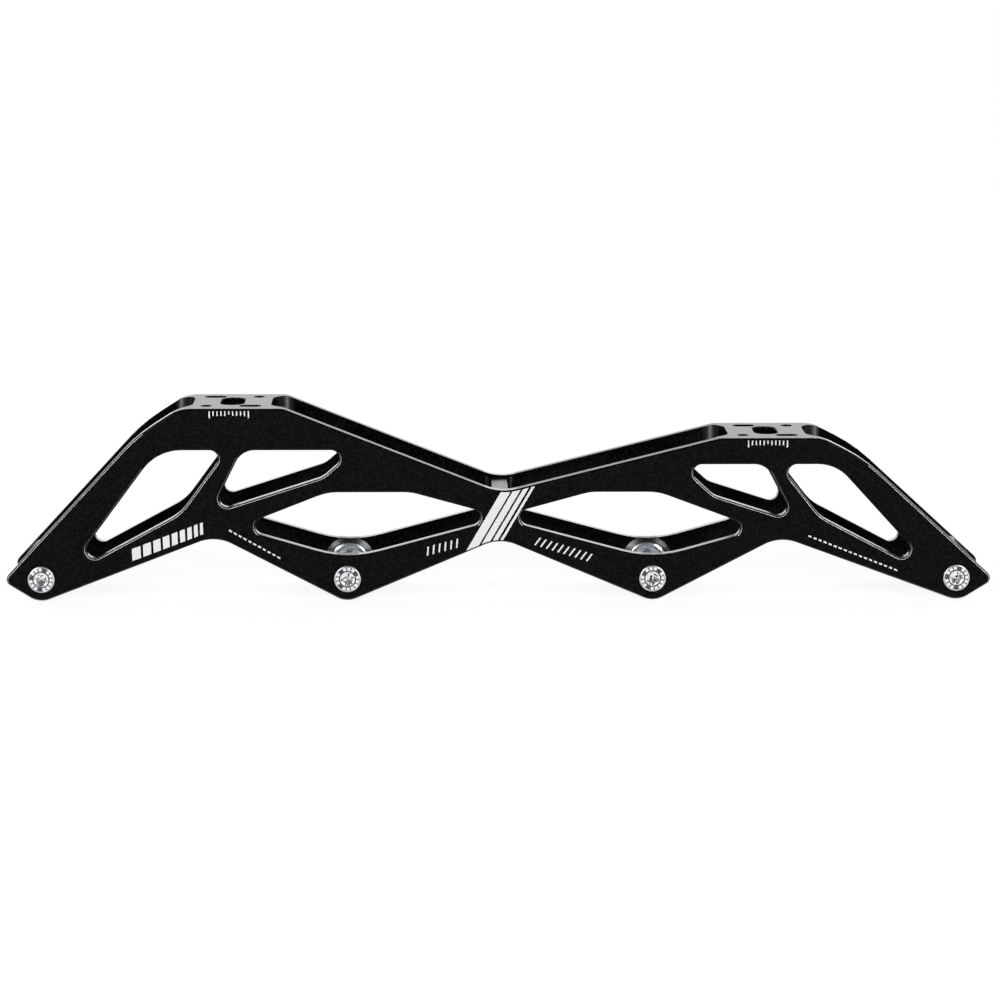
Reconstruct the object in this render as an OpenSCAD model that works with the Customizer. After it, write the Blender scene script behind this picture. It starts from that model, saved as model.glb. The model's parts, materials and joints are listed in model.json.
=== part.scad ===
// Inline skate frame for four wheels: an alloy channel with a high heel deck, a lower toe deck
// and latticed side walls, four axle bolts, four spacer rings and four threaded inserts.
// X runs from heel to toe, Y from the head side to the thread side, Z up. The frame stands on
// the round feet under its axles.

/* [Wheels] */
// Distance from the first wheel axle to the last
wheelbase = 334; // [330:1:342]
// Diameter of the wheels
wheel_d = 110; // [100:1:111]
// Room left between a tyre and the channel's decks and bridge
tyre_room = 1.5; // [1:0.1:2]
// Width of the groove milled for a tyre under the decks
tyre_groove_w = 18; // [14:0.5:20]
// Width of a wheel's hub with its bearings
hub_w = 24; // [22:0.1:26]

/* [Side walls] */
// Thickness of each side wall
wall = 3.6; // [3:0.1:4.5]
// Radius of the wall's foot round an axle
foot_r = 8; // [7.5:0.1:9]
// Length of the pointed ends beyond the end axles
nose_l = 14; // [12:0.1:16]
// Depth of the nose point below the axles, before rounding
nose_drop = 0.6; // [0:0.05:2]
// Radius of the nose point
nose_r = 2.5; // [1:0.1:3]
// Radius of the bottom edge between two feet
valley_r = 14.7; // [8:0.1:20]
// Height of the lowest point of the top edge above the axles, before rounding
waist_h = 31.8; // [30:0.1:34]
// Radius of the top edge at the waist
waist_r = 18.7; // [10:0.1:30]
// Radius of the tight window corners
window_r = 3.2; // [2:0.1:3.5]

/* [Mounting decks] */
// Distance between the heel and toe mounting slots
mount_spacing = 195; // [191:0.5:199]
// Height of the heel deck above the axles
heel_h = 62.9; // [60:0.1:66]
// Height of the toe deck above the axles
toe_h = 51.9; // [51:0.1:56]
// Depth of wall between the heel deck's top and the windows under it
heel_chord = 15.3; // [13:0.1:17]
// Depth of wall between the toe deck's top and the windows under it
toe_chord = 9.7; // [9.4:0.1:12]
// Length of each deck plate along the frame
deck_l = 28.4; // [26:0.1:31]
// Thickness of each deck plate
deck_t = 8; // [5:0.1:9]
// Radius where a deck plate runs into the side walls
deck_corner_r = 7.5; // [3:0.1:8.5]
// Radius of the side view where a deck's flat top ends on the nose side
deck_rim_r = 14; // [8:0.5:18]
// Radius of the side view where the slope from a deck bends on down to its nose
shoulder_r = 60; // [40:1:65]
// Height of that bend over a straight line from the deck's end to the nose
shoulder_rise = 3.65; // [2.5:0.05:4.5]
// Radius of the side view where a deck turns down to the waist
deck_end_r = 7.5; // [4:0.5:15]
// Width of a mounting slot along the frame
slot_w = 8.6; // [6:0.1:10]
// Length of a mounting slot across the frame
slot_l = 16; // [12:0.5:17]
// Diameter of the round lightening holes and width of the long ones
hole_d = 4; // [3:0.1:4.5]
// Length of the long lightening holes
long_hole_l = 8; // [5:0.1:9]
// Distance of both rows of lightening holes from the centre line
hole_row = 10.2; // [9.7:0.1:10.6]
// Distance of a round lightening hole from the slot's centre, along the frame
round_hole_x = 9.1; // [8:0.1:11]
// Distance of a long lightening hole from the slot's centre, along the frame
long_hole_x = 6.9; // [5.5:0.1:8.5]

/* [Bridge] */
// Length of the centre bridge along the frame
bridge_l = 6; // [5:0.1:8]
// Height of the bridge's top above the axles
bridge_h = 31.7; // [29:0.1:32]
// Depth of the bridge from its top to its underside
bridge_t = 9.8; // [7:0.1:11]
// Radius where the bridge's ends run into the side walls
bridge_corner_r = 2.2; // [1:0.1:3]
// Radius of the fillet that rises from the bridge's top to the side walls
bridge_fillet_r = 0.8; // [0.3:0.1:1.8]

/* [Axle seats] */
// Height of an axle seat above the wall's inner face
seat_h = 1.2; // [0.8:0.1:2]
// Height of the turned cone under a ring, above the wall
cone_h = 0.5; // [0.3:0.1:0.6]
// Radius of the turned cone at the wall
cone_r = 9.5; // [8.5:0.1:10]
// Radius of the spacer rings and insert flanges
ring_r = 7.2; // [6.5:0.1:7.8]
// Radius of the face that meets a wheel bearing
face_r = 5.9; // [5.7:0.1:6.2]
// Radius of the part of a ring that is pressed into the wall
spigot_r = 5.5; // [5.3:0.1:5.6]
// Depth that a spacer ring is pressed into the wall
spacer_depth = 0.8; // [0.4:0.1:1]

/* [Axles] */
// Diameter of an axle
axle_d = 8; // [7:0.1:8.4]
// Clearance all round an axle in its holes
axle_room = 0.05; // [0.02:0.01:0.09]
// Diameter of an axle's head
head_d = 10; // [9.6:0.1:10.4]
// Clearance all round a head in its counterbore
head_room = 0.2; // [0.1:0.05:0.4]
// Depth of the counterbore for a head
head_depth = 1.9; // [1:0.1:1.9]
// Height of a head above the wall, and of an axle's tip beyond the far wall
proud = 0.6; // [0.3:0.1:1]
// Radius of the rounded edge of a head
head_edge_r = 0.7; // [0.3:0.1:0.9]
// Radius of the ring groove in a head
groove_r = 2.8; // [2.7:0.1:3.2]
// Width of the ring groove in a head
groove_w = 0.4; // [0.2:0.1:0.6]
// Depth of the ring groove in a head
groove_depth = 0.25; // [0.1:0.05:0.4]
// Width across the flats of the hexagon socket
socket_af = 4; // [3:0.1:4.2]
// Depth of the hexagon socket
socket_depth = 5; // [3:0.1:7]
// Chamfer at an axle's tip
tip_chamfer = 0.7; // [0.3:0.1:1]

/* [Hidden] */
WHEELS = 4;

// Place of a slope's bend on the way from the deck's end to the nose
shoulder_share = 0.2;
// Degrees of turn in one facet of a rounded corner
arc_step = 6;
// Sides of a full circle
round_fn = 96;
// Overrun that carries a cut clear past a face
over = 1;

pitch = wheelbase / (WHEELS - 1);
gap_w = hub_w + 2 * seat_h;
frame_w = gap_w + 2 * wall;
frame_l = wheelbase + 2 * nose_l;
axle_r = axle_d / 2;
bore_r = axle_r + axle_room;
head_r = head_d / 2;
heel_x = -mount_spacing / 2;
toe_x = mount_spacing / 2;
heel_window_h = heel_h - heel_chord;
toe_window_h = toe_h - toe_chord;

function axle_x(k) = (k - (WHEELS - 1) / 2) * pitch;

// A corner is [x, height above the axles, radius]. rounded() turns a loop of corners into points.
function unit(v) = v / norm(v);
function flat(c) = [c.x, c.y];
function corner_arc(a, b, c, r) =
    let (u = unit(a - b), v = unit(c - b), half = acos(u * v) / 2)
    let (middle = b + unit(u + v) * r / sin(half))
    let (p = b + u * r / tan(half) - middle, q = b + v * r / tan(half) - middle)
    let (start = atan2(p.y, p.x), turn = (atan2(q.y, q.x) - start + 540) % 360 - 180)
    let (steps = ceil(abs(turn) / arc_step))
    [for (i = [0 : steps]) middle + r * [cos(start + turn * i / steps), sin(start + turn * i / steps)]];
function rounded(loop) =
    let (n = len(loop))
    [for (i = [0 : n - 1])
        each corner_arc(flat(loop[(i + n - 1) % n]), flat(loop[i]), flat(loop[(i + 1) % n]), loop[i].z)];

// The corner of a foot: both bottom edges, from the points before and after it, touch the foot's circle.
function foot_side(from, centre, side) =
    let (away = from - centre, turn = atan2(away.y, away.x) + side * acos(foot_r / norm(away)))
    [cos(turn), sin(turn)];
function foot(k, before, after) =
    let (centre = [axle_x(k), 0])
    let (a = foot_side(flat(before), centre, 1), b = foot_side(flat(after), centre, -1))
    let (corner = centre + foot_r * (a + b) / (1 + a * b))
    [corner.x, corner.y, foot_r];

// The corner where the slope from a deck's end bends on down to the nose
function shoulder(rim, nose) =
    let (run = flat(nose) - flat(rim), out = sign(run.x) * unit([-run.y, run.x]))
    let (corner = flat(rim) + shoulder_share * run + shoulder_rise * out)
    [corner.x, corner.y, shoulder_r];

// Side view of the frame
heel_nose = [axle_x(0) - nose_l, -nose_drop, nose_r];
toe_nose = [axle_x(3) + nose_l, -nose_drop, nose_r];
heel_rim = [heel_x - 18.6, heel_h, deck_rim_r];
toe_rim = [toe_x + 19.4, toe_h, deck_rim_r];
valley_heel = [(axle_x(0) + axle_x(1)) / 2 + 7.9, 16.15, valley_r];
valley_mid = [0, 15.05, valley_r];
valley_toe = [(axle_x(2) + axle_x(3)) / 2 - 9.3, 15.45, valley_r];
outline = [
    heel_nose,
    foot(0, heel_nose, valley_heel),
    valley_heel,
    foot(1, valley_heel, valley_mid),
    valley_mid,
    foot(2, valley_mid, valley_toe),
    valley_toe,
    foot(3, valley_toe, toe_nose),
    toe_nose,
    shoulder(toe_rim, toe_nose),
    toe_rim,
    [toe_x - 17.8, toe_h, deck_end_r],
    [0, waist_h, waist_r],
    [heel_x + 19, heel_h, deck_end_r],
    heel_rim,
    shoulder(heel_rim, heel_nose),
];

// Windows in the side walls, heel to toe
windows = [
    [
        [heel_x - 26.6, heel_window_h, 17.2],
        [axle_x(0) + 8.4, 1.2, window_r],
        [heel_x - 18.6, 24.3, 18],
        [heel_x - 1.5, heel_window_h, window_r],
    ],
    [
        [heel_x + 3.9, heel_window_h, 7.6],
        [heel_x - 7.6, 24.4, window_r],
        [heel_x + 33.2, 37.6, 9],
        [heel_x + 44.6, heel_window_h, window_r],
    ],
    [
        [axle_x(1) - 7.2, 32.05, 20],
        [axle_x(1) - 40.15, 19, window_r],
        [axle_x(1), 7.25, 42],
        [1.8, 22.6, window_r],
        [axle_x(1) + 23.1, 32.05, 18.5],
    ],
    [
        [axle_x(2) - 23.1, 32.05, 18.5],
        [-1.8, 22.6, window_r],
        [axle_x(2), 7.25, 42],
        [axle_x(2) + 38.85, 18.15, window_r],
        [axle_x(2) + 1.7, 32.05, 20.5],
    ],
    [
        [toe_x - 32.4, toe_window_h, window_r],
        [toe_x - 19.8, 30.55, 8.5],
        [toe_x + 10.2, 20.9, window_r],
        [toe_x - 1, toe_window_h, 7.2],
    ],
    [
        [toe_x + 3.8, toe_window_h, window_r],
        [toe_x + 18.95, 22.85, 15.5],
        [axle_x(3) - 5.5, -0.9, window_r],
        [toe_x + 24.4, toe_window_h, 15.2],
    ],
];

// Carries a side view drawn in X and height to its place, as wide as w across the frame
module across(w) {
    translate([0, 0, foot_r]) rotate([90, 0, 0]) linear_extrude(w, center = true) children();
}

// Places a turned piece on an axle's line, with its own Z along the frame's Y
module on_axle(k, y) {
    translate([axle_x(k), y, foot_r]) rotate([-90, 0, 0]) children();
}

// Plan of a cross piece of length l whose ends flow into both walls with radius r
function cross_plan(l, r) =
    let (x = l / 2 + r, y = gap_w / 2)
    let (quarter = [for (a = [180 : -arc_step : 90]) [x + r * cos(a), y - r + r * sin(a)]])
    let (half = concat(quarter, [[x, y + over], [-x, y + over]],
        [for (i = [len(quarter) - 1 : -1 : 0]) [-quarter[i].x, quarter[i].y]]))
    concat(half, [for (p = half) -p]);

module cross_piece(x, top, t, l, r) {
    translate([x, 0, foot_r + top - t]) linear_extrude(t) polygon(cross_plan(l, r));
}

// Fillet along one wall on top of the bridge, drawn in Y and height above the bridge
module bridge_fillet() {
    r = bridge_fillet_r;
    y = gap_w / 2;
    profile = concat([for (a = [-90 : arc_step : 0]) [y - r + r * cos(a), r + r * sin(a)]],
        [[y + over, r], [y + over, -over], [y - r, -over]]);
    intersection() {
        rotate([90, 0, 90]) linear_extrude(frame_l, center = true) polygon(profile);
        translate([0, 0, -over]) linear_extrude(r + 2 * over) polygon(cross_plan(bridge_l, bridge_corner_r));
    }
}

// Two walls joined by both decks and the bridge, before the side view is cut
module stock() {
    size = [frame_l + 2 * over, wall, foot_r + heel_h + 2 * over];
    for (y = [-frame_w / 2, gap_w / 2]) translate([-size.x / 2, y, -over]) cube(size);
    cross_piece(heel_x, heel_h, deck_t, deck_l, deck_corner_r);
    cross_piece(toe_x, toe_h, deck_t, deck_l, deck_corner_r);
    cross_piece(0, bridge_h, bridge_t, bridge_l, bridge_corner_r);
    translate([0, 0, foot_r + bridge_h]) {
        bridge_fillet();
        mirror([0, 1, 0]) bridge_fillet();
    }
    for (k = [0 : WHEELS - 1]) {
        on_axle(k, -gap_w / 2) seat_cone();
        on_axle(k, gap_w / 2) mirror([0, 0, 1]) seat_cone();
    }
}

// A hole with straight sides and round ends, along Y, drawn about the origin
module long_hole(w, l) {
    reach = (l - w) / 2;
    polygon([for (s = [1, -1]) for (a = [0 : arc_step : 180])
        [s * w / 2 * cos(a), s * (reach + w / 2 * sin(a))]]);
}

// Mounting slot with the four lightening holes round it
module deck_holes(x, top) {
    translate([x, 0, foot_r + top - deck_t - over]) linear_extrude(deck_t + 2 * over) {
        long_hole(slot_w, slot_l);
        for (s = [1, -1]) {
            translate([s * round_hole_x, s * hole_row]) circle(d = hole_d, $fn = round_fn);
            translate([-s * long_hole_x, s * hole_row]) rotate(90) long_hole(hole_d, long_hole_l);
        }
    }
}

// Turned cone that carries a ring, standing on a wall's inner face towards +Z
module seat_cone() {
    rotate_extrude($fn = round_fn)
        polygon([[0, -over], [cone_r, -over], [cone_r, 0], [ring_r, cone_h], [0, cone_h]]);
}

// One-piece alloy channel, black anodised
module frame_body() {
    color("#18181a")
    difference() {
        intersection() {
            across(frame_w) polygon(rounded(outline));
            stock();
        }
        for (w = windows) across(frame_w + 2 * over) polygon(rounded(w));
        for (k = [0 : WHEELS - 1]) {
            on_axle(k, -tyre_groove_w / 2)
                cylinder(r = wheel_d / 2 + tyre_room, h = tyre_groove_w, $fn = round_fn);
            on_axle(k, -frame_w / 2 - over)
                cylinder(r = bore_r, h = wall + cone_h + 2 * over, $fn = round_fn);
            on_axle(k, -frame_w / 2 - over)
                cylinder(r = head_r + head_room, h = head_depth + over, $fn = round_fn);
            on_axle(k, -gap_w / 2 - spacer_depth)
                cylinder(r = spigot_r, h = spacer_depth + cone_h + over, $fn = round_fn);
            on_axle(k, gap_w / 2 - cone_h - over)
                cylinder(r = spigot_r, h = wall + cone_h + 2 * over, $fn = round_fn);
        }
        deck_holes(heel_x, heel_h);
        deck_holes(toe_x, toe_h);
    }
}

// A flanged ring whose bearing face looks towards +Z; its spigot reaches down into the wall
module ring(depth) {
    edge_h = (seat_h + cone_h) / 2;
    rotate_extrude($fn = round_fn)
        polygon([[bore_r, -depth], [spigot_r, -depth], [spigot_r, cone_h], [ring_r, cone_h],
            [ring_r, edge_h], [face_r, seat_h], [bore_r, seat_h]]);
}

// Spacer ring, pressed into the head-side wall
module spacer_ring(k) {
    color("silver") on_axle(k, -gap_w / 2) ring(spacer_depth);
}

// Threaded insert, pressed through the far wall
module threaded_insert(k) {
    color("silver") on_axle(k, gap_w / 2) mirror([0, 0, 1]) ring(wall);
}

// Axle bolt: round head with a hexagon socket, plain shank, thread at the tip
module axle(k) {
    head_h = head_depth + proud;
    length = frame_w + 2 * proud;
    edge = [for (a = [90 : -arc_step : 0])
        [head_r - head_edge_r + head_edge_r * cos(a), head_edge_r - head_edge_r * sin(a)]];
    groove = [[groove_r - groove_w / 2, 0], [groove_r - groove_w / 2, groove_depth],
        [groove_r + groove_w / 2, groove_depth], [groove_r + groove_w / 2, 0]];
    shank = [[head_r, head_h], [axle_r, head_h], [axle_r, length - tip_chamfer],
        [axle_r - tip_chamfer, length], [0, length]];
    color("silver") on_axle(k, -frame_w / 2 - proud)
    difference() {
        rotate_extrude($fn = round_fn) polygon(concat([[0, 0]], groove, edge, shank));
        translate([0, 0, -over])
            cylinder(d = socket_af / cos(30), h = socket_depth + over, $fn = 6);
    }
}

frame_body();
for (k = [0 : WHEELS - 1]) {
    axle(k);
    spacer_ring(k);
    threaded_insert(k);
}
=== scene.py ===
import json
from math import atan2, cos, degrees, hypot, pi, radians, sin

import bmesh
import bpy
from mathutils import Matrix, Vector


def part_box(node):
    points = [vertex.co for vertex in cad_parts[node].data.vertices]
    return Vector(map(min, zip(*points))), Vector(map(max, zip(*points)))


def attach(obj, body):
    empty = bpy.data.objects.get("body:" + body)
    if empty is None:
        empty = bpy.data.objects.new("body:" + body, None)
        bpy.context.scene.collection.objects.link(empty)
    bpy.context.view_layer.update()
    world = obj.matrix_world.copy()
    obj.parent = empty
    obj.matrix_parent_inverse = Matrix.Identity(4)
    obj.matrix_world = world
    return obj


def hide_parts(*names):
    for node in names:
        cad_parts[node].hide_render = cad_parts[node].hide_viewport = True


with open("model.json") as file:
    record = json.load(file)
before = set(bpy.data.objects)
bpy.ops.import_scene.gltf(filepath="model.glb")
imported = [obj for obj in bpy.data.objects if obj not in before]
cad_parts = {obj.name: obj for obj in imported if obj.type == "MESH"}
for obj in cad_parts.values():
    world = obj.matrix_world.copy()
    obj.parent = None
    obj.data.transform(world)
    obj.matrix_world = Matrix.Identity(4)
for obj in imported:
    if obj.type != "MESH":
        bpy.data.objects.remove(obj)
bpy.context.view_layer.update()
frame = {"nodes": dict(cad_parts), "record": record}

# Frame body: one channel of aluminium alloy, milled from a solid section and anodised black.
# The cutter breaks the outer edges of both walls with a chamfer and takes the burr off the others.
MM = 0.001
OUTER_CHAMFER = 0.52 * MM
RUB = 0.12 * MM
SLOT_CHAMFER = 0.5 * MM
BURR = 0.14 * MM
MERGE = 0.001 * MM
ON_PLANE = 0.005 * MM
PLANAR = radians(0.3)
SHARP = radians(25)

body_low, body_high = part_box("frame_body")
first_low, first_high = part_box("axle_1")
last_low, last_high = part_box("axle_4")
walls = (body_low.y, body_high.y)
axle_z = (first_low.z + first_high.z) / 2
first_axle_x = (first_low.x + first_high.x) / 2
axle_pitch = ((last_low.x + last_high.x) / 2 - first_axle_x) / 3
mounts = {mount["name"]: Vector(mount["pos_m"]) for mount in frame["record"]["mounts"]}
decks = [mounts["heel_slot"], mounts["toe_slot"]]


def linear(code):
    """The linear colour that a shader takes, from an sRGB hex value."""
    parts = [int(code[i:i + 2], 16) / 255 for i in (1, 3, 5)]
    return [c / 12.92 if c <= 0.04045 else ((c + 0.055) / 1.055) ** 2.4 for c in parts] + [1.0]


def add(tree, kind, settings, links):
    """Adds a node with its settings; each link is a socket to join or a value to set."""
    made = tree.nodes.new("ShaderNode" + kind)
    for name, value in settings.items():
        setattr(made, name, value)
    for name, value in links.items():
        if isinstance(value, bpy.types.NodeSocket):
            tree.links.new(value, made.inputs[name])
        else:
            made.inputs[name].default_value = value
    return made


def new_material(name):
    """An empty material with its node tree and its output."""
    material = bpy.data.materials.new(name)
    material.use_nodes = True
    material.node_tree.nodes.clear()
    return material, material.node_tree, add(material.node_tree, "OutputMaterial", {}, {})


def from_axle(tree):
    """A point's distance from the nearest axle's line, the way outward, and its place across the frame."""
    place = add(tree, "TexCoord", {}, {}).outputs["Object"]
    split = add(tree, "SeparateXYZ", {}, {"Vector": place})
    along = add(tree, "Math", {"operation": "SUBTRACT"}, {0: split.outputs["X"], 1: first_axle_x})
    along = add(tree, "Math", {"operation": "WRAP"},
                {0: along.outputs[0], 1: axle_pitch / 2, 2: -axle_pitch / 2})
    up = add(tree, "Math", {"operation": "SUBTRACT"}, {0: split.outputs["Z"], 1: axle_z})
    flat = add(tree, "CombineXYZ", {}, {"X": along.outputs[0], "Z": up.outputs[0]})
    radius = add(tree, "VectorMath", {"operation": "LENGTH"}, {0: flat.outputs[0]})
    outward = add(tree, "VectorMath", {"operation": "NORMALIZE"}, {0: flat.outputs[0]})
    return {"radius": radius.outputs["Value"], "outward": outward.outputs[0], "across": split.outputs["Y"]}


def sharp_edges(bm):
    """The edges where two faces meet in an outer corner."""
    return [e for e in bm.edges if e.is_manifold and e.calc_face_angle_signed() > SHARP]


def break_edges(bm, edges, size, segments=1):
    """Cuts a chamfer, or with more segments a round, along edges, and returns its faces."""
    made = bmesh.ops.bevel(bm, geom=[e for e in edges if e.is_valid], offset=size, offset_type="OFFSET",
                           affect="EDGES", segments=segments, profile=0.5, material=-1, clamp_overlap=False)
    return set(made["faces"])


def axle_distance(point):
    """How far a point lies from the nearest axle's line."""
    turn = round((point.x - first_axle_x) / axle_pitch)
    return hypot(point.x - first_axle_x - turn * axle_pitch, point.z - axle_z)


def finish_piece(name, bm, materials, body, replaced=()):
    """Makes an object of a bmesh, shades it, and puts it on its body."""
    mesh = bpy.data.meshes.new(name)
    bm.to_mesh(mesh)
    bm.free()
    mesh.shade_smooth()
    mesh.set_sharp_from_angle(angle=SHARP)
    for material in materials:
        mesh.materials.append(material)
    piece = bpy.data.objects.new(name, mesh)
    bpy.context.scene.collection.objects.link(piece)
    evened = piece.modifiers.new("flat_faces_stay_flat", "WEIGHTED_NORMAL")
    evened.keep_sharp = True
    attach(piece, body)
    if replaced:
        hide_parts(*replaced)
    return piece


# Black anodising on milled alloy: a dyed oxide skin, near black face on, that mirrors at a low angle.
# Fine blasting grain speckles it in patches about a millimetre across.
GRAIN = 1.0 * MM

anodised, tree, output = new_material("black_anodised_alloy")
place = add(tree, "TexCoord", {}, {}).outputs["Object"]
grain = add(tree, "TexNoise", {}, {"Vector": place, "Scale": 1 / GRAIN, "Detail": 4.0, "Roughness": 0.75})
speckle = add(tree, "MapRange", {}, {"Value": grain.outputs["Fac"], "From Min": 0.45, "From Max": 0.75,
                                     "To Min": 0.0002, "To Max": 0.012})
tone = add(tree, "CombineColor", {}, {"Red": speckle.outputs[0], "Green": speckle.outputs[0],
                                      "Blue": speckle.outputs[0]})
rough = add(tree, "MapRange", {}, {"Value": grain.outputs["Fac"], "To Min": 0.2, "To Max": 0.32})
bump = add(tree, "Bump", {}, {"Height": grain.outputs["Fac"], "Strength": 0.1, "Distance": 0.02 * MM})
shader = add(tree, "BsdfPrincipled", {}, {"Base Color": tone.outputs[0], "Roughness": rough.outputs[0],
                                          "IOR": 1.145, "Normal": bump.outputs[0]})
tree.links.new(shader.outputs[0], output.inputs["Surface"])

# Edge lines: the chamfers' rounded corners get grey metal in place of the black skin, as a painted
# highlight, its tone varying at random like handling wear.
# They give the eye the fine light lines that draw the windows and the slopes.
# Under the feet the chamfers that face the floor get a grey painted reflection of it, less and less with
# height.
WEAR = 4 * MM
FLOOR_REFLECTION_FULL, FLOOR_REFLECTION_END = 3 * MM, 21 * MM

worn_edge_painted_light, tree, output = new_material("worn_alloy_edge_painted_light")
place = add(tree, "TexCoord", {}, {}).outputs["Object"]
wear = add(tree, "TexNoise", {}, {"Vector": place, "Scale": 1 / WEAR, "Detail": 3.0})
tone = add(tree, "MapRange", {}, {"Value": wear.outputs["Fac"], "From Min": 0.3, "From Max": 0.7,
                                  "To Min": 0.36, "To Max": 0.6})
height = add(tree, "SeparateXYZ", {}, {"Vector": place})
# Painted reflection of the floor: faces turned down are grey at the feet and near black from 21 mm up.
painted_floor_reflection = add(tree, "MapRange", {}, {"Value": height.outputs["Z"], "From Min": FLOOR_REFLECTION_FULL,
                                   "From Max": FLOOR_REFLECTION_END, "To Min": 0.36, "To Max": 0.01})
facing = add(tree, "SeparateXYZ", {}, {"Vector": add(tree, "NewGeometry", {}, {}).outputs["Normal"]})
# Painted shade: where these faces turn down they take the darker tone above; where they turn up they keep
# the full tone.
painted_shade_facing_down = add(tree, "MapRange", {}, {"Value": facing.outputs["Z"], "From Min": -0.25, "From Max": 0.15,
                                   "To Min": painted_floor_reflection.outputs[0], "To Max": 1.0})
tone = add(tree, "Math", {"operation": "MULTIPLY"}, {0: tone.outputs[0], 1: painted_shade_facing_down.outputs[0]})
tone = add(tree, "CombineColor", {}, {"Red": tone.outputs[0], "Green": tone.outputs[0],
                                      "Blue": tone.outputs[0]})
shader = add(tree, "BsdfPrincipled", {}, {"Base Color": tone.outputs[0], "Roughness": 0.5, "Metallic": 1.0})
tree.links.new(shader.outputs[0], output.inputs["Surface"])

# Machined black faces: the turned seats round the axles and the milled corners of the decks' pockets
# aren't blasted. The tool's fine marks, rings on a seat and level steps in a corner, tip the surface and
# spread the lights into milky streaks.
TOOL_MARK = 0.5 * MM


def machined_black(name, find, tilt, ior):
    """Black alloy whose tool marks, placed by a distance, tip the surface a little along a direction."""
    material, tree, output = new_material(name)
    distance, way = find(tree)
    marks = add(tree, "TexNoise", {"noise_dimensions": "1D"},
                {"W": distance, "Scale": 1 / TOOL_MARK, "Detail": 2.0})
    amount = add(tree, "MapRange", {}, {"Value": marks.outputs["Fac"], "To Min": 0.4 * tilt,
                                        "To Max": 1.6 * tilt})
    tip = add(tree, "VectorMath", {"operation": "SCALE"}, {0: way, "Scale": amount.outputs[0]})
    plain = add(tree, "NewGeometry", {}, {}).outputs["Normal"]
    tipped = add(tree, "VectorMath", {"operation": "ADD"}, {0: plain, 1: tip.outputs[0]})
    tipped = add(tree, "VectorMath", {"operation": "NORMALIZE"}, {0: tipped.outputs[0]})
    rough = add(tree, "MapRange", {}, {"Value": marks.outputs["Fac"], "To Min": 0.24, "To Max": 0.38})
    shader = add(tree, "BsdfPrincipled", {}, {"Base Color": linear("#0d0d0e"), "IOR": ior,
                                              "Roughness": rough.outputs[0], "Normal": tipped.outputs[0]})
    tree.links.new(shader.outputs[0], output.inputs["Surface"])
    return material


def from_centre(tree):
    """Distance from the nearest axle's line, and the way outward."""
    axle = from_axle(tree)
    return axle["radius"], axle["outward"]


def from_below(tree):
    """Height, and the way up."""
    place = add(tree, "TexCoord", {}, {}).outputs["Object"]
    split = add(tree, "SeparateXYZ", {}, {"Vector": place})
    return split.outputs["Z"], add(tree, "CombineXYZ", {}, {"Z": 1.0}).outputs[0]


turned_seat = machined_black("turned_black_seat", from_centre, 0.5, 1.8)
milled_corner = machined_black("milled_black_corner", from_below, 0.16, 1.4)

# Contour-milled edges: the long cutter leaves the walls' rims and the windows smoother than the sides.
# Under the same black skin they mirror the light behind more strongly, as whitish bands along every slope.
milled_edge, tree, output = new_material("contour_milled_black_edge")
place = add(tree, "TexCoord", {}, {}).outputs["Object"]
grain = add(tree, "TexNoise", {}, {"Vector": place, "Scale": 1 / GRAIN, "Detail": 3.0})
rough = add(tree, "MapRange", {}, {"Value": grain.outputs["Fac"], "To Min": 0.16, "To Max": 0.28})
shader = add(tree, "BsdfPrincipled", {}, {"Base Color": linear("#0b0b0c"), "Roughness": rough.outputs[0],
                                          "IOR": 1.3})
tree.links.new(shader.outputs[0], output.inputs["Surface"])

# The body's mesh: a merged copy of the solid, with its finishes given out and then its edges broken.
# Outer edges get the chamfer, whose two corners are rubbed round, and the slots' rims a softer round.
WORN_EDGE_PAINTED_LIGHT, SEAT, CORNER, EDGE = 1, 2, 3, 4
SEAT_INNER, SEAT_OUTER = 6.0 * MM, 9.6 * MM
INNER_REACH, WALL_FROM = 13.35 * MM, 13.15 * MM
CORNERS_FROM, DECK_REACH = 25 * MM, 14 * MM
BORE_REACH = 6.5 * MM
SLOT_REACH_X, SLOT_REACH_Y = 4.6 * MM, 8.3 * MM
WINDOW_LONG = 60 * MM
SQUARE = 0.02
HALF_WAY = cos(radians(45))
SIDE_RIM_FROM, TOP_RIM_FROM, SLOPE_RIM_FROM = -0.6, 0.2, 0.6
UNDERSIDE = -0.2


def cutter_finish(face):
    """Which finish the cutter left on a face of the body; 0 is the plain anodising."""
    turn = face.normal
    middle = face.calc_center_median()
    points = [v.co for v in face.verts]
    on_deck = any(all(abs(p.z - d.z) < ON_PLANE for p in points) for d in decks)
    in_wall = all(abs(p.y) > WALL_FROM for p in points)
    if abs(turn.y) < SQUARE and in_wall and not on_deck and axle_distance(middle) > BORE_REACH:
        return EDGE
    upright = abs(turn.z) < SQUARE and abs(turn.x) > 0.05 and abs(turn.y) > 0.7
    in_pocket = abs(middle.y) < INNER_REACH and all(abs(middle.x - d.x) > DECK_REACH for d in decks)
    if upright and in_pocket and middle.z > CORNERS_FROM:
        return CORNER
    if all(SEAT_INNER < axle_distance(p) < SEAT_OUTER and abs(p.y) < INNER_REACH for p in points):
        return SEAT
    return 0


def on_slot_rim(points):
    """Whether the points lie on the rim of one deck's slot."""
    return any(all(abs(p.x - d.x) < SLOT_REACH_X and abs(p.y) < SLOT_REACH_Y and abs(p.z - d.z) < ON_PLANE
                   for p in points) for d in decks)


def joined_groups(faces):
    """The faces in groups that join edge to edge."""
    left = set(faces)
    while left:
        group = [left.pop()]
        for face in group:
            near = left.intersection(other for edge in face.edges for other in edge.link_faces)
            left -= near
            group += near
        yield group


bm = bmesh.new()
bm.from_mesh(frame["nodes"]["frame_body"].data)
bmesh.ops.remove_doubles(bm, verts=bm.verts, dist=MERGE)
bmesh.ops.dissolve_limit(bm, angle_limit=PLANAR, verts=bm.verts, edges=bm.edges)
bm.normal_update()
for face in bm.faces:
    face.material_index = cutter_finish(face)

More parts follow.
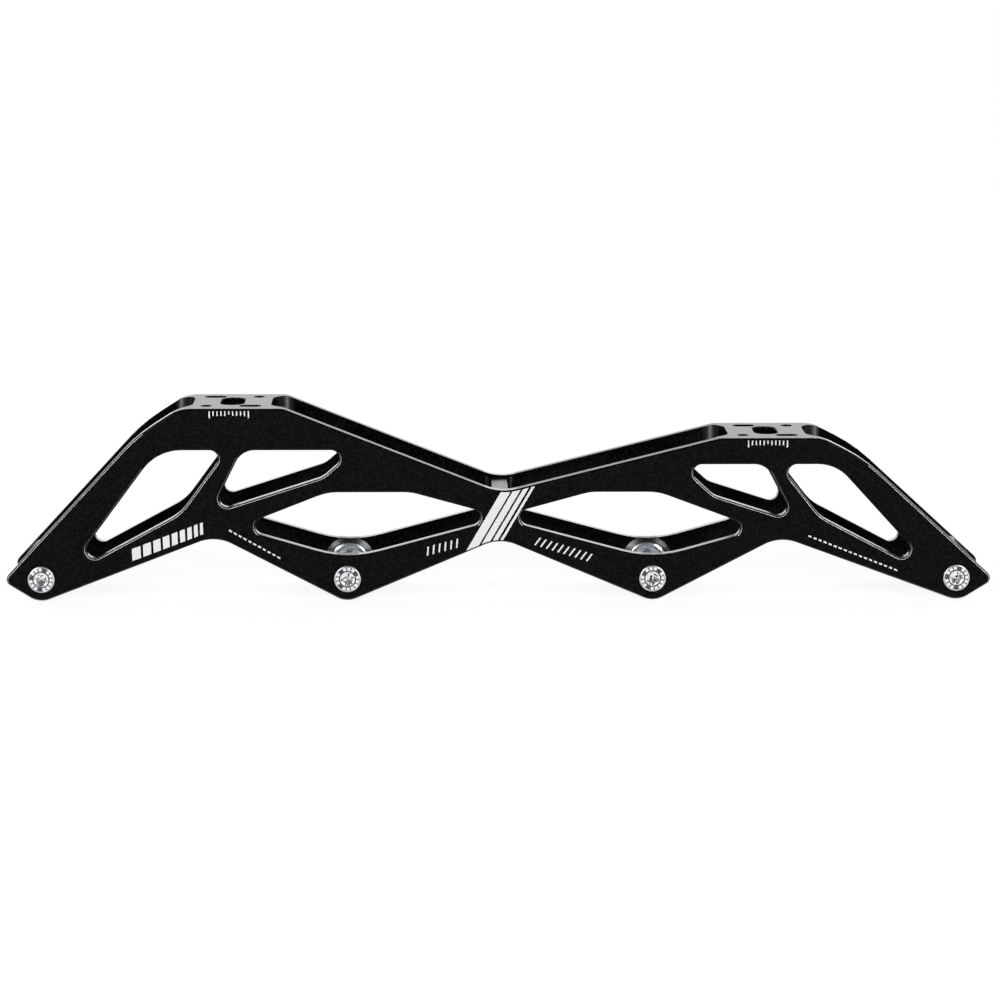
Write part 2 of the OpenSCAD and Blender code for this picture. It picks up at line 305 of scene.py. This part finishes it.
outer, slots, burrs = [], [], []
for edge in sharp_edges(bm):
    ends = [v.co for v in edge.verts]
    on_side = any(all(abs(p.y - wall) < ON_PLANE for p in ends) for wall in walls)
    if on_side and axle_distance(ends[0]) > BORE_REACH:
        outer.append(edge)
    elif on_slot_rim(ends):
        slots.append(edge)
    else:
        burrs.append(edge)
break_edges(bm, burrs, BURR)
chamfers = break_edges(bm, outer, OUTER_CHAMFER)
break_edges(bm, slots, SLOT_CHAMFER, 2)
chamfers = {f for f in chamfers if f.is_valid}
rims = [e for e in sharp_edges(bm) if len(chamfers.intersection(e.link_faces)) == 1]
rounds = break_edges(bm, rims, RUB, 2)
bmesh.ops.recalc_face_normals(bm, faces=bm.faces)
bm.normal_update()

# Painted highlight: only rounds that lean up, or face the side without leaning far down, get the lighter
# edge metal; the rest keep the black finish.
for rim in joined_groups(rounds):
    places = [v.co.x for face in rim for v in face.verts]
    middle = sum(places) / len(places)
    end_window = max(places) - min(places) < WINDOW_LONG and abs(middle) > WINDOW_LONG
    steepness = 0.0 if end_window else SLOPE_RIM_FROM
    for face in rim:
        lean = Vector((face.normal.x, face.normal.z)).normalized()
        to_side = abs(face.normal.y) > HALF_WAY
        side_rim = to_side and lean.y > SIDE_RIM_FROM and abs(lean.x) >= steepness
        top_rim = not to_side and lean.y > TOP_RIM_FROM
        if side_rim or top_rim:
            face.material_index = WORN_EDGE_PAINTED_LIGHT
# Painted reflection of the floor: the sides' down-turned chamfers low by the feet get the edge metal as
# well.
for face in set(bm.faces) - rounds:
    points = [v.co for v in face.verts]
    slanted = abs(abs(face.normal.y) - HALF_WAY) < 0.1 and face.normal.z < UNDERSIDE
    at_side = all(body_high.y - abs(p.y) < OUTER_CHAMFER for p in points)
    low = min(p.z for p in points) < FLOOR_REFLECTION_END
    if slanted and at_side and low and axle_distance(face.calc_center_median()) > BORE_REACH:
        face.material_index = WORN_EDGE_PAINTED_LIGHT
frame_shell = finish_piece("milled_frame", bm, [anodised, worn_edge_painted_light, turned_seat, milled_corner, milled_edge],
                           "frame", ["frame_body"])

# Print: white ink screened on both walls, on the flat inside the chamfers.
# Scales of eleven ticks show the boot's place under each deck, and leaning bars dress the waist and arms.
INK = 0.03 * MM
TICKS = 11
TICK_PITCH, TICK_WIDTH, TICK_DROP = 1.41 * MM, 0.46 * MM, 0.9 * MM
TICK_END, TICK_PLAIN, TICK_MIDDLE = 2.5 * MM, 1.7 * MM, 1.2 * MM
SCALE_SHIFT = (-0.48 * MM, -0.54 * MM)
BAR_LEAN = 0.35
BLOCK_H, BLOCK_GAP = 4.2 * MM, 0.9 * MM
BLOCKS = [(3.4 - 0.28 * i) * MM for i in range(9)]
STROKE_H, STROKE, STROKE_GAP = 3.2 * MM, 0.6 * MM, 1.6 * MM
DASH_H, DASH, DASH_GAP = 0.6 * MM, 1.2 * MM, 0.8 * MM

# Screen ink: a thin opaque coat, a little uneven in tone and gloss where the screen's threads stood.
SCREEN_MARK = 0.6 * MM

ink, tree, output = new_material("white_screen_ink")
place = add(tree, "TexCoord", {}, {}).outputs["Object"]
coat = add(tree, "TexNoise", {}, {"Vector": place, "Scale": 1 / SCREEN_MARK, "Detail": 2.0})
tone = add(tree, "Mix", {"data_type": "RGBA"},
           {0: coat.outputs["Fac"], 6: linear("#e7e7ec"), 7: linear("#fefefe")})
rough = add(tree, "MapRange", {}, {"Value": coat.outputs["Fac"], "To Min": 0.36, "To Max": 0.54})
shader = add(tree, "BsdfPrincipled", {}, {"Base Color": tone.outputs[2], "Roughness": rough.outputs[0],
                                          "IOR": 1.4})
tree.links.new(shader.outputs[0], output.inputs["Surface"])


def draw_out(bm, faces, way):
    """Extrudes faces across the frame, and returns what that makes."""
    made = bmesh.ops.extrude_face_region(bm, geom=faces)["geom"]
    bmesh.ops.translate(bm, vec=(0, way, 0), verts=[g for g in made if isinstance(g, bmesh.types.BMVert)])
    return made


def ink_shape(bm, corners):
    """A patch of ink with these corners in X and Z, on both walls."""
    for wall in walls:
        out = INK if wall > 0 else -INK
        face = bm.faces.new([bm.verts.new((x, wall - out / 2, z)) for x, z in corners])
        draw_out(bm, [face], out * 1.5)


def ink_bars(bm, start, end, height, widths, gap, lean):
    """A row of bars that follows a line from start to end, both in millimetres."""
    line = (Vector(end) - Vector(start)).normalized()
    rise = Vector((-line.y, line.x)) * height
    top = rise + line * lean * height
    at = Vector(start) * MM - rise / 2
    for width in widths:
        across = line * width
        ink_shape(bm, [at, at + across, at + across + top, at + top])
        at = at + across + line * gap


bm = bmesh.new()
for deck, shift in zip(decks, SCALE_SHIFT):
    top = deck.z - TICK_DROP
    for i in range(TICKS):
        x = deck.x + shift + (i - TICKS // 2) * TICK_PITCH
        length = TICK_END if i in (0, TICKS - 1) else TICK_MIDDLE if i == TICKS // 2 else TICK_PLAIN
        left, right = x - TICK_WIDTH / 2, x + TICK_WIDTH / 2
        ink_shape(bm, [(left, top - length), (right, top - length), (right, top), (left, top)])
ink_bars(bm, (-134.5, 16.8), (-107.6, 27.1), BLOCK_H, BLOCKS, BLOCK_GAP, BAR_LEAN)
ink_bars(bm, (-27.2, 18.1), (-15.3, 21.3), STROKE_H, [STROKE] * 6, STROKE_GAP, BAR_LEAN)
ink_bars(bm, (12.8, 22.1), (35.4, 14.9), STROKE_H, [STROKE] * 10, STROKE_GAP, BAR_LEAN)
ink_bars(bm, (-98.5, 26.2), (-79.0, 15.1), DASH_H, [DASH] * 11, DASH_GAP, 0)
ink_bars(bm, (112.4, 23.7), (147.5, 9.8), DASH_H, [DASH] * 18, DASH_GAP, 0)
bmesh.ops.recalc_face_normals(bm, faces=bm.faces)
finish_piece("wall_print", bm, [ink], "frame")

# Waist bars: four leaning bars of ink across the narrow waist, from rim to rim, thinner towards the toe.
# They are cut from the walls' own flat faces, so that they end where the chamfers start.
WAIST_BARS = [(-3.4 * MM, 3.0 * MM), (0.3 * MM, 2.2 * MM), (3.2 * MM, 1.5 * MM), (5.5 * MM, 0.9 * MM)]
WAIST_LEAN = radians(30)
WAIST_Z, WAIST_LOW, WAIST_HIGH = 31 * MM, 15 * MM, 50 * MM
CUT = 0.0001 * MM

shell = bmesh.new()
shell.from_mesh(frame_shell.data)
over = Vector((cos(WAIST_LEAN), 0, -sin(WAIST_LEAN)))
up = Vector((0, 0, 1))
bars = bmesh.new()
for x, width in WAIST_BARS:
    middle = Vector((x, 0, WAIST_Z))
    cuts = [(middle + over * width / 2, over), (middle - over * width / 2, -over),
            (up * WAIST_HIGH, up), (up * WAIST_LOW, -up)]
    for wall in walls:
        part = shell.copy()
        others = [f for f in part.faces if any(abs(v.co.y - wall) > ON_PLANE for v in f.verts)]
        bmesh.ops.delete(part, geom=others, context="FACES")
        for point, direction in cuts:
            bmesh.ops.bisect_plane(part, geom=part.verts[:] + part.edges[:] + part.faces[:], dist=CUT,
                                   plane_co=point, plane_no=direction, clear_outer=True)
        for face in part.faces:
            bars.faces.new([bars.verts.new(v.co) for v in face.verts])
        part.free()
shell.free()
bmesh.ops.remove_doubles(bars, verts=bars.verts, dist=MERGE)
for face in bars.faces[:]:
    draw_out(bars, [face], INK if face.calc_center_median().y > 0 else -INK)
bmesh.ops.recalc_face_normals(bars, faces=bars.faces)
finish_piece("waist_print", bars, [ink], "frame")

# Spacer rings and threaded inserts: turned from aluminium bar, left bright, and pressed into the walls.
# Their raised faces carry the wheel bearings; the inserts reach through the far wall for the axles' threads.
STEPS = 120
RING_EDGE = 0.12 * MM
BORE, SPIGOT, RING_R, FACE_R = 4.05 * MM, 5.5 * MM, 7.2 * MM, 5.9 * MM
WALL, GAP_HALF = 3.6 * MM, 13.2 * MM
SEAT_H, CONE_H, SPACER_DEPTH = 1.2 * MM, 0.5 * MM, 0.8 * MM
TOOL_RING, TOOL_DEPTH = 0.3 * MM, 0.03 * MM


def turned_metal(name, code, roughness, groove):
    """Bright turned metal: fine rings round the axle catch the light in a sheen that turns with the view."""
    material, tree, output = new_material(name)
    axle = from_axle(tree)
    rings = add(tree, "CombineXYZ", {}, {"X": axle["radius"], "Y": axle["across"]})
    cut = add(tree, "TexNoise", {"noise_dimensions": "2D"},
              {"Vector": rings.outputs[0], "Scale": 1 / TOOL_RING, "Detail": 2.0})
    bump = add(tree, "Bump", {}, {"Height": cut.outputs["Fac"], "Strength": groove, "Distance": TOOL_DEPTH})
    rough = add(tree, "MapRange", {}, {"Value": cut.outputs["Fac"], "To Min": roughness - 0.06,
                                       "To Max": roughness + 0.06})
    shader = add(tree, "BsdfPrincipled", {}, {"Base Color": linear(code), "Metallic": 1.0,
                                              "Roughness": rough.outputs[0], "Normal": bump.outputs[0]})
    tree.links.new(shader.outputs[0], output.inputs["Surface"])
    return material


def turned(outline, x, closed):
    """An outline of places across the frame and radii, turned about an axle's line at x."""
    bm = bmesh.new()
    verts = [bm.verts.new((x + r, y, axle_z)) for y, r in outline]
    pairs = list(zip(verts, verts[1:]))
    if closed:
        pairs.append((verts[-1], verts[0]))
    edges = [bm.edges.new(pair) for pair in pairs]
    bmesh.ops.spin(bm, geom=verts + edges, cent=(x, 0, axle_z), axis=(0, 1, 0), angle=2 * pi, steps=STEPS,
                   use_merge=True)
    bmesh.ops.remove_doubles(bm, verts=bm.verts, dist=MERGE)
    return bm


def ring_piece(x, side, depth):
    """A flanged ring on one wall, its bearing face towards the wheel."""
    edge_h = (SEAT_H + CONE_H) / 2
    outline = [(-depth, BORE), (-depth, SPIGOT), (CONE_H, SPIGOT), (CONE_H, RING_R), (edge_h, RING_R),
               (SEAT_H, FACE_R), (SEAT_H, BORE)]
    bm = turned([(side * (GAP_HALF - y), r) for y, r in outline], x, True)
    bmesh.ops.recalc_face_normals(bm, faces=bm.faces)
    break_edges(bm, sharp_edges(bm), RING_EDGE, 2)
    return bm


ring_metal = turned_metal("turned_ring_alloy", "#eaeef4", 0.24, 0.25)
for k in range(4):
    x = first_axle_x + k * axle_pitch
    finish_piece(f"turned_spacer_{k + 1}", ring_piece(x, -1, SPACER_DEPTH), [ring_metal], "frame",
                 [f"spacer_ring_{k + 1}"])
    finish_piece(f"turned_insert_{k + 1}", ring_piece(x, 1, WALL), [ring_metal], "frame",
                 [f"threaded_insert_{k + 1}"])

# Axle bolts: turned steel with a plated finish, screwed into the inserts from the head side.
# Round head with a raised pattern of pads round a hexagon socket, plain shank, cut thread at the tip.
HEAD_FACE, TIP = first_low.y, first_high.y
HEAD_R, HEAD_H, HEAD_ROUND = 5.0 * MM, 2.5 * MM, 0.7 * MM
SHANK_R, ROOT_R, NECK = 4.0 * MM, 3.45 * MM, 0.4 * MM
BAND_IN, BAND_OUT, BAND_DEEP, BAND_SIDE = 3.1 * MM, 4.38 * MM, 0.16 * MM, 0.05 * MM
PAD_IN, PAD_OUT = 3.14 * MM, 4.28 * MM
GROOVE_IN, GROOVE_OUT, GROOVE_DEEP, GROOVE_SIDE = 2.66 * MM, 3.04 * MM, 0.25 * MM, 0.08 * MM
SOCKET, SOCKET_MOUTH, SOCKET_DEEP, SOCKET_LEAD = 2.0 * MM, 2.38 * MM, 5.0 * MM, 0.2 * MM
SOCKET_CONE, DISH, RIM_DISH = 0.05 * MM, 0.02 * MM, 0.03 * MM
TIP_CHAMFER = 0.7 * MM
THREAD_PITCH, THREAD_LENGTH, THREAD_SIDES = 1.0 * MM, 6.2 * MM, 40
THREAD_FOOT, THREAD_CREST, THREAD_SUNK = 0.46, 0.07, 0.1 * MM
PAD_TURN, PAD_WIDE, GROUP = 24, 18, 4
HEAD_TURNS = (11, 47, 29, 5)
ETCHED, BROACHED, POLISHED = 1, 2, 3

# Plated steel has a soft grey sheen, the etched ground between the pads is dark and dull, and the pads and
# the rim round the socket are polished almost white.
axle_metal = turned_metal("plated_axle_steel", "#c6c7cb", 0.36, 0.2)
recess_metal = turned_metal("etched_head_ground", "#55565c", 0.45, 0.3)
face_metal = turned_metal("polished_head_face", "#f0f0f2", 0.25, 0.2)

# Broached socket: bright torn facets mirror the floor, and a few spots at random are coloured near black.
TEAR, TEAR_DEPTH, SPOT = 1.5 * MM, 0.2 * MM, 0.9 * MM

socket_metal, tree, output = new_material("broached_socket_steel")
place = add(tree, "TexCoord", {}, {}).outputs["Object"]
torn = add(tree, "TexNoise", {}, {"Vector": place, "Scale": 1 / TEAR, "Detail": 1.0})
spot_noise = add(tree, "TexNoise", {}, {"Vector": place, "Scale": 1 / SPOT, "Detail": 0.0})
dark_spots = add(tree, "MapRange", {}, {"Value": spot_noise.outputs["Fac"], "From Min": 0.62, "From Max": 0.68})
tone = add(tree, "Mix", {"data_type": "RGBA"},
           {0: dark_spots.outputs[0], 6: linear("#f2f3f4"), 7: linear("#1c1c1d")})
bump = add(tree, "Bump", {}, {"Height": torn.outputs["Fac"], "Strength": 1.0, "Distance": TEAR_DEPTH})
shader = add(tree, "BsdfPrincipled", {}, {"Base Color": tone.outputs[2], "Metallic": 1.0, "Roughness": 0.25,
                                          "Normal": bump.outputs[0]})
tree.links.new(shader.outputs[0], output.inputs["Surface"])

thread_start = TIP - TIP_CHAMFER - THREAD_LENGTH


def axle_outline():
    """The axle's outline from the socket's floor over the head and along the shank to the tip."""
    socket = [(SOCKET_DEEP, 0), (SOCKET_DEEP - SOCKET_CONE, SOCKET), (SOCKET_LEAD, SOCKET),
              (DISH, SOCKET_MOUTH)]
    groove = [(0, GROOVE_IN), (GROOVE_DEEP, GROOVE_IN + GROOVE_SIDE),
              (GROOVE_DEEP, GROOVE_OUT - GROOVE_SIDE)]
    band = [(BAND_DEEP, BAND_IN), (BAND_DEEP, PAD_IN), (BAND_DEEP, PAD_OUT),
            (BAND_DEEP, BAND_OUT - BAND_SIDE), (RIM_DISH, BAND_OUT)]
    corner = [(HEAD_ROUND * (1 - sin(radians(a))), HEAD_R - HEAD_ROUND * (1 - cos(radians(a))))
              for a in range(90, -1, -10)]
    corner = [p for p in corner if p[1] > BAND_OUT + DISH]
    head = socket + groove + band + corner + [(HEAD_H, HEAD_R), (HEAD_H, SHANK_R)]
    end = TIP_CHAMFER * 0.6
    shank = [(thread_start - NECK, SHANK_R), (thread_start, ROOT_R), (TIP - end, ROOT_R),
             (TIP, ROOT_R - end), (TIP, 0)]
    return [(HEAD_FACE + y, r) for y, r in head] + shank


def cut_hexagon(bm, centre):
    """Draws the socket's round wall out to six flats."""
    for v in bm.verts:
        away = v.co - centre
        if abs(hypot(away.x, away.z) - SOCKET) < 20 * MERGE and v.co.y < HEAD_FACE + SOCKET_DEEP:
            stretch = 1 / cos(radians(degrees(atan2(away.z, away.x)) % 60 - 30))
            v.co.x = centre.x + away.x * stretch
            v.co.z = centre.z + away.z * stretch


def dress_head(bm, centre):
    """Gives the head's faces their finishes, and raises its pads in groups of three."""
    pads = []
    for face in bm.faces:
        away = face.calc_center_median() - centre
        r = hypot(away.x, away.z)
        deep = away.y - HEAD_FACE
        if r < SOCKET_MOUTH and deep < SOCKET_DEEP:
            face.material_index = BROACHED
        elif r < GROOVE_IN and deep < GROOVE_DEEP / 2:
            face.material_index = POLISHED
        elif r < BAND_OUT - RIM_DISH and deep < GROOVE_DEEP + MERGE:
            face.material_index = ETCHED
            turn = degrees(atan2(away.z, away.x)) % 360
            in_group = int(turn // PAD_TURN) % GROUP != GROUP - 1
            if PAD_IN < r < PAD_OUT and turn % PAD_TURN < PAD_WIDE and in_group:
                pads.append(face)
    made = draw_out(bm, pads, -BAND_DEEP)
    bmesh.ops.delete(bm, geom=[f for f in pads if f.is_valid], context="FACES_ONLY")
    for g in made:
        if isinstance(g, bmesh.types.BMFace):
            g.material_index = POLISHED


def wind_thread(bm, x):
    """Winds the thread's ridge round the thinner root."""
    foot = THREAD_PITCH * THREAD_FOOT
    crest = THREAD_PITCH * THREAD_CREST
    sunk = ROOT_R - THREAD_SUNK
    ridge = [(-foot, sunk), (-foot, ROOT_R), (-crest, SHANK_R), (crest, SHANK_R), (foot, ROOT_R),
             (foot, sunk)]
    start = thread_start + foot + THREAD_SUNK
    turns = int((THREAD_LENGTH - 2 * foot) / THREAD_PITCH)
    ring = [bm.verts.new((x + r, start + y, axle_z)) for y, r in ridge]
    cap = bm.faces.new(ring)
    bmesh.ops.spin(bm, geom=[cap] + ring + list(cap.edges), cent=(x, 0, axle_z), axis=(0, 1, 0),
                   dvec=(0, THREAD_PITCH / THREAD_SIDES, 0), angle=2 * pi * turns,
                   steps=THREAD_SIDES * turns)


for k, head_turn in enumerate(HEAD_TURNS):
    x = first_axle_x + k * axle_pitch
    centre = Vector((x, 0, axle_z))
    bm = turned(axle_outline(), x, False)
    cut_hexagon(bm, centre)
    bmesh.ops.recalc_face_normals(bm, faces=bm.faces)
    dress_head(bm, centre)
    bmesh.ops.rotate(bm, verts=bm.verts, cent=centre, matrix=Matrix.Rotation(radians(head_turn), 3, "Y"))
    wind_thread(bm, x)
    bmesh.ops.recalc_face_normals(bm, faces=bm.faces)
    finish_piece(f"axle_bolt_{k + 1}", bm, [axle_metal, recess_metal, socket_metal, face_metal],
                 f"axle_{k + 1}", [f"axle_{k + 1}"])

# Studio: the frame stands on a pale floor in front of a white background.
# Two tall soft lights flank the camera, and a wide one stands low behind the frame.
# The room is darker in front than behind, so that the walls stay black and the decks shine.
FLOOR_HALF, FLOOR_TONE, FLOOR_WHITE = 1.5, 0.24, 0.86
ROOM_FRONT, ROOM_BACK, ROOM_CAST = 0.12, 1.0, 0.85
EYE = Vector((-22.68, -1115.585, 254.69)) * MM
LOOK_DOWN, LOOK_RIGHT, ROLL = radians(11.1922), radians(1.1753), radians(0.1294)
LENS, SENSOR = 111.102, 36

floor_material, tree, output = new_material("floor_paper")
path = add(tree, "LightPath", {}, {})
seen = add(tree, "Math", {"operation": "MAXIMUM"},
           {0: path.outputs["Is Camera Ray"], 1: path.outputs["Is Glossy Ray"]})
seen = add(tree, "Math", {"operation": "MAXIMUM"},
           {0: seen.outputs[0], 1: path.outputs["Is Transmission Ray"]})
paper = add(tree, "BsdfDiffuse", {}, {"Color": (FLOOR_TONE, FLOOR_TONE, FLOOR_TONE, 1)})
level = add(tree, "Math", {"operation": "MULTIPLY"}, {0: seen.outputs[0], 1: FLOOR_WHITE})
glow = add(tree, "Emission", {}, {"Color": linear("#ffffff"), "Strength": level.outputs[0]})
both = add(tree, "AddShader", {}, {0: paper.outputs[0], 1: glow.outputs[0]})
tree.links.new(both.outputs[0], output.inputs["Surface"])
bm = bmesh.new()
bmesh.ops.create_grid(bm, x_segments=1, y_segments=1, size=FLOOR_HALF)
floor_mesh = bpy.data.meshes.new("floor")
bm.to_mesh(floor_mesh)
bm.free()
floor_mesh.materials.append(floor_material)
floor = bpy.data.objects.new("floor", floor_mesh)
bpy.context.scene.collection.objects.link(floor)

world = bpy.data.worlds.new("studio")
bpy.context.scene.world = world
world.use_nodes = True
tree = world.node_tree
tree.nodes.clear()
path = add(tree, "LightPath", {}, {})
mirrored = add(tree, "Math", {"operation": "MAXIMUM"},
               {0: path.outputs["Is Glossy Ray"], 1: path.outputs["Is Transmission Ray"]})
toward = add(tree, "SeparateXYZ", {}, {"Vector": add(tree, "TexCoord", {}, {}).outputs["Generated"]})
room = add(tree, "MapRange", {}, {"Value": toward.outputs["Y"], "From Min": 0.0, "From Max": 0.4,
                                  "To Min": ROOM_FRONT, "To Max": ROOM_BACK})
cast = add(tree, "Math", {"operation": "MULTIPLY"}, {0: room.outputs[0], 1: ROOM_CAST})
level = add(tree, "Mix", {"data_type": "FLOAT"},
            {0: mirrored.outputs[0], 2: cast.outputs[0], 3: room.outputs[0]})
level = add(tree, "Mix", {"data_type": "FLOAT"},
            {0: path.outputs["Is Camera Ray"], 2: level.outputs[0], 3: 1.0})
white = add(tree, "Background", {}, {"Color": linear("#ffffff"), "Strength": level.outputs[0]})
tree.links.new(white.outputs[0], add(tree, "OutputWorld", {}, {}).inputs["Surface"])


def soft_light(name, place, target, size, power, tint):
    """A rectangular soft light that faces a point."""
    data = bpy.data.lights.new(name, "AREA")
    data.shape = "RECTANGLE"
    data.size, data.size_y = size
    data.energy = power
    data.color = linear(tint)[:3]
    lamp = bpy.data.objects.new(name, data)
    lamp.location = place
    lamp.rotation_euler = (Vector(target) - Vector(place)).to_track_quat("-Z", "Y").to_euler()
    bpy.context.scene.collection.objects.link(lamp)


soft_light("left_light", (-1.15, -1.6, 0.7), (0, 0, 0.04), (0.3, 1.4), 23, "#ffffff")
soft_light("right_light", (1.15, -1.6, 0.7), (0, 0, 0.04), (0.3, 1.4), 23, "#ffffff")
soft_light("back_light", (0, 1.6, 0.3), (0, 0, 0.3), (3.0, 0.6), 8.8, "#fffefb")

camera_data = bpy.data.cameras.new("camera")
camera_data.sensor_width = SENSOR
camera_data.lens = LENS
camera_data.clip_end = 100
camera = bpy.data.objects.new("camera", camera_data)
camera.matrix_world = (Matrix.Translation(EYE) @ Matrix.Rotation(-LOOK_RIGHT, 4, "Z")
                       @ Matrix.Rotation(pi / 2 - LOOK_DOWN, 4, "X") @ Matrix.Rotation(ROLL, 4, "Z"))
bpy.context.scene.collection.objects.link(camera)
bpy.context.scene.camera = camera
bpy.context.scene.view_settings.view_transform = "Standard"
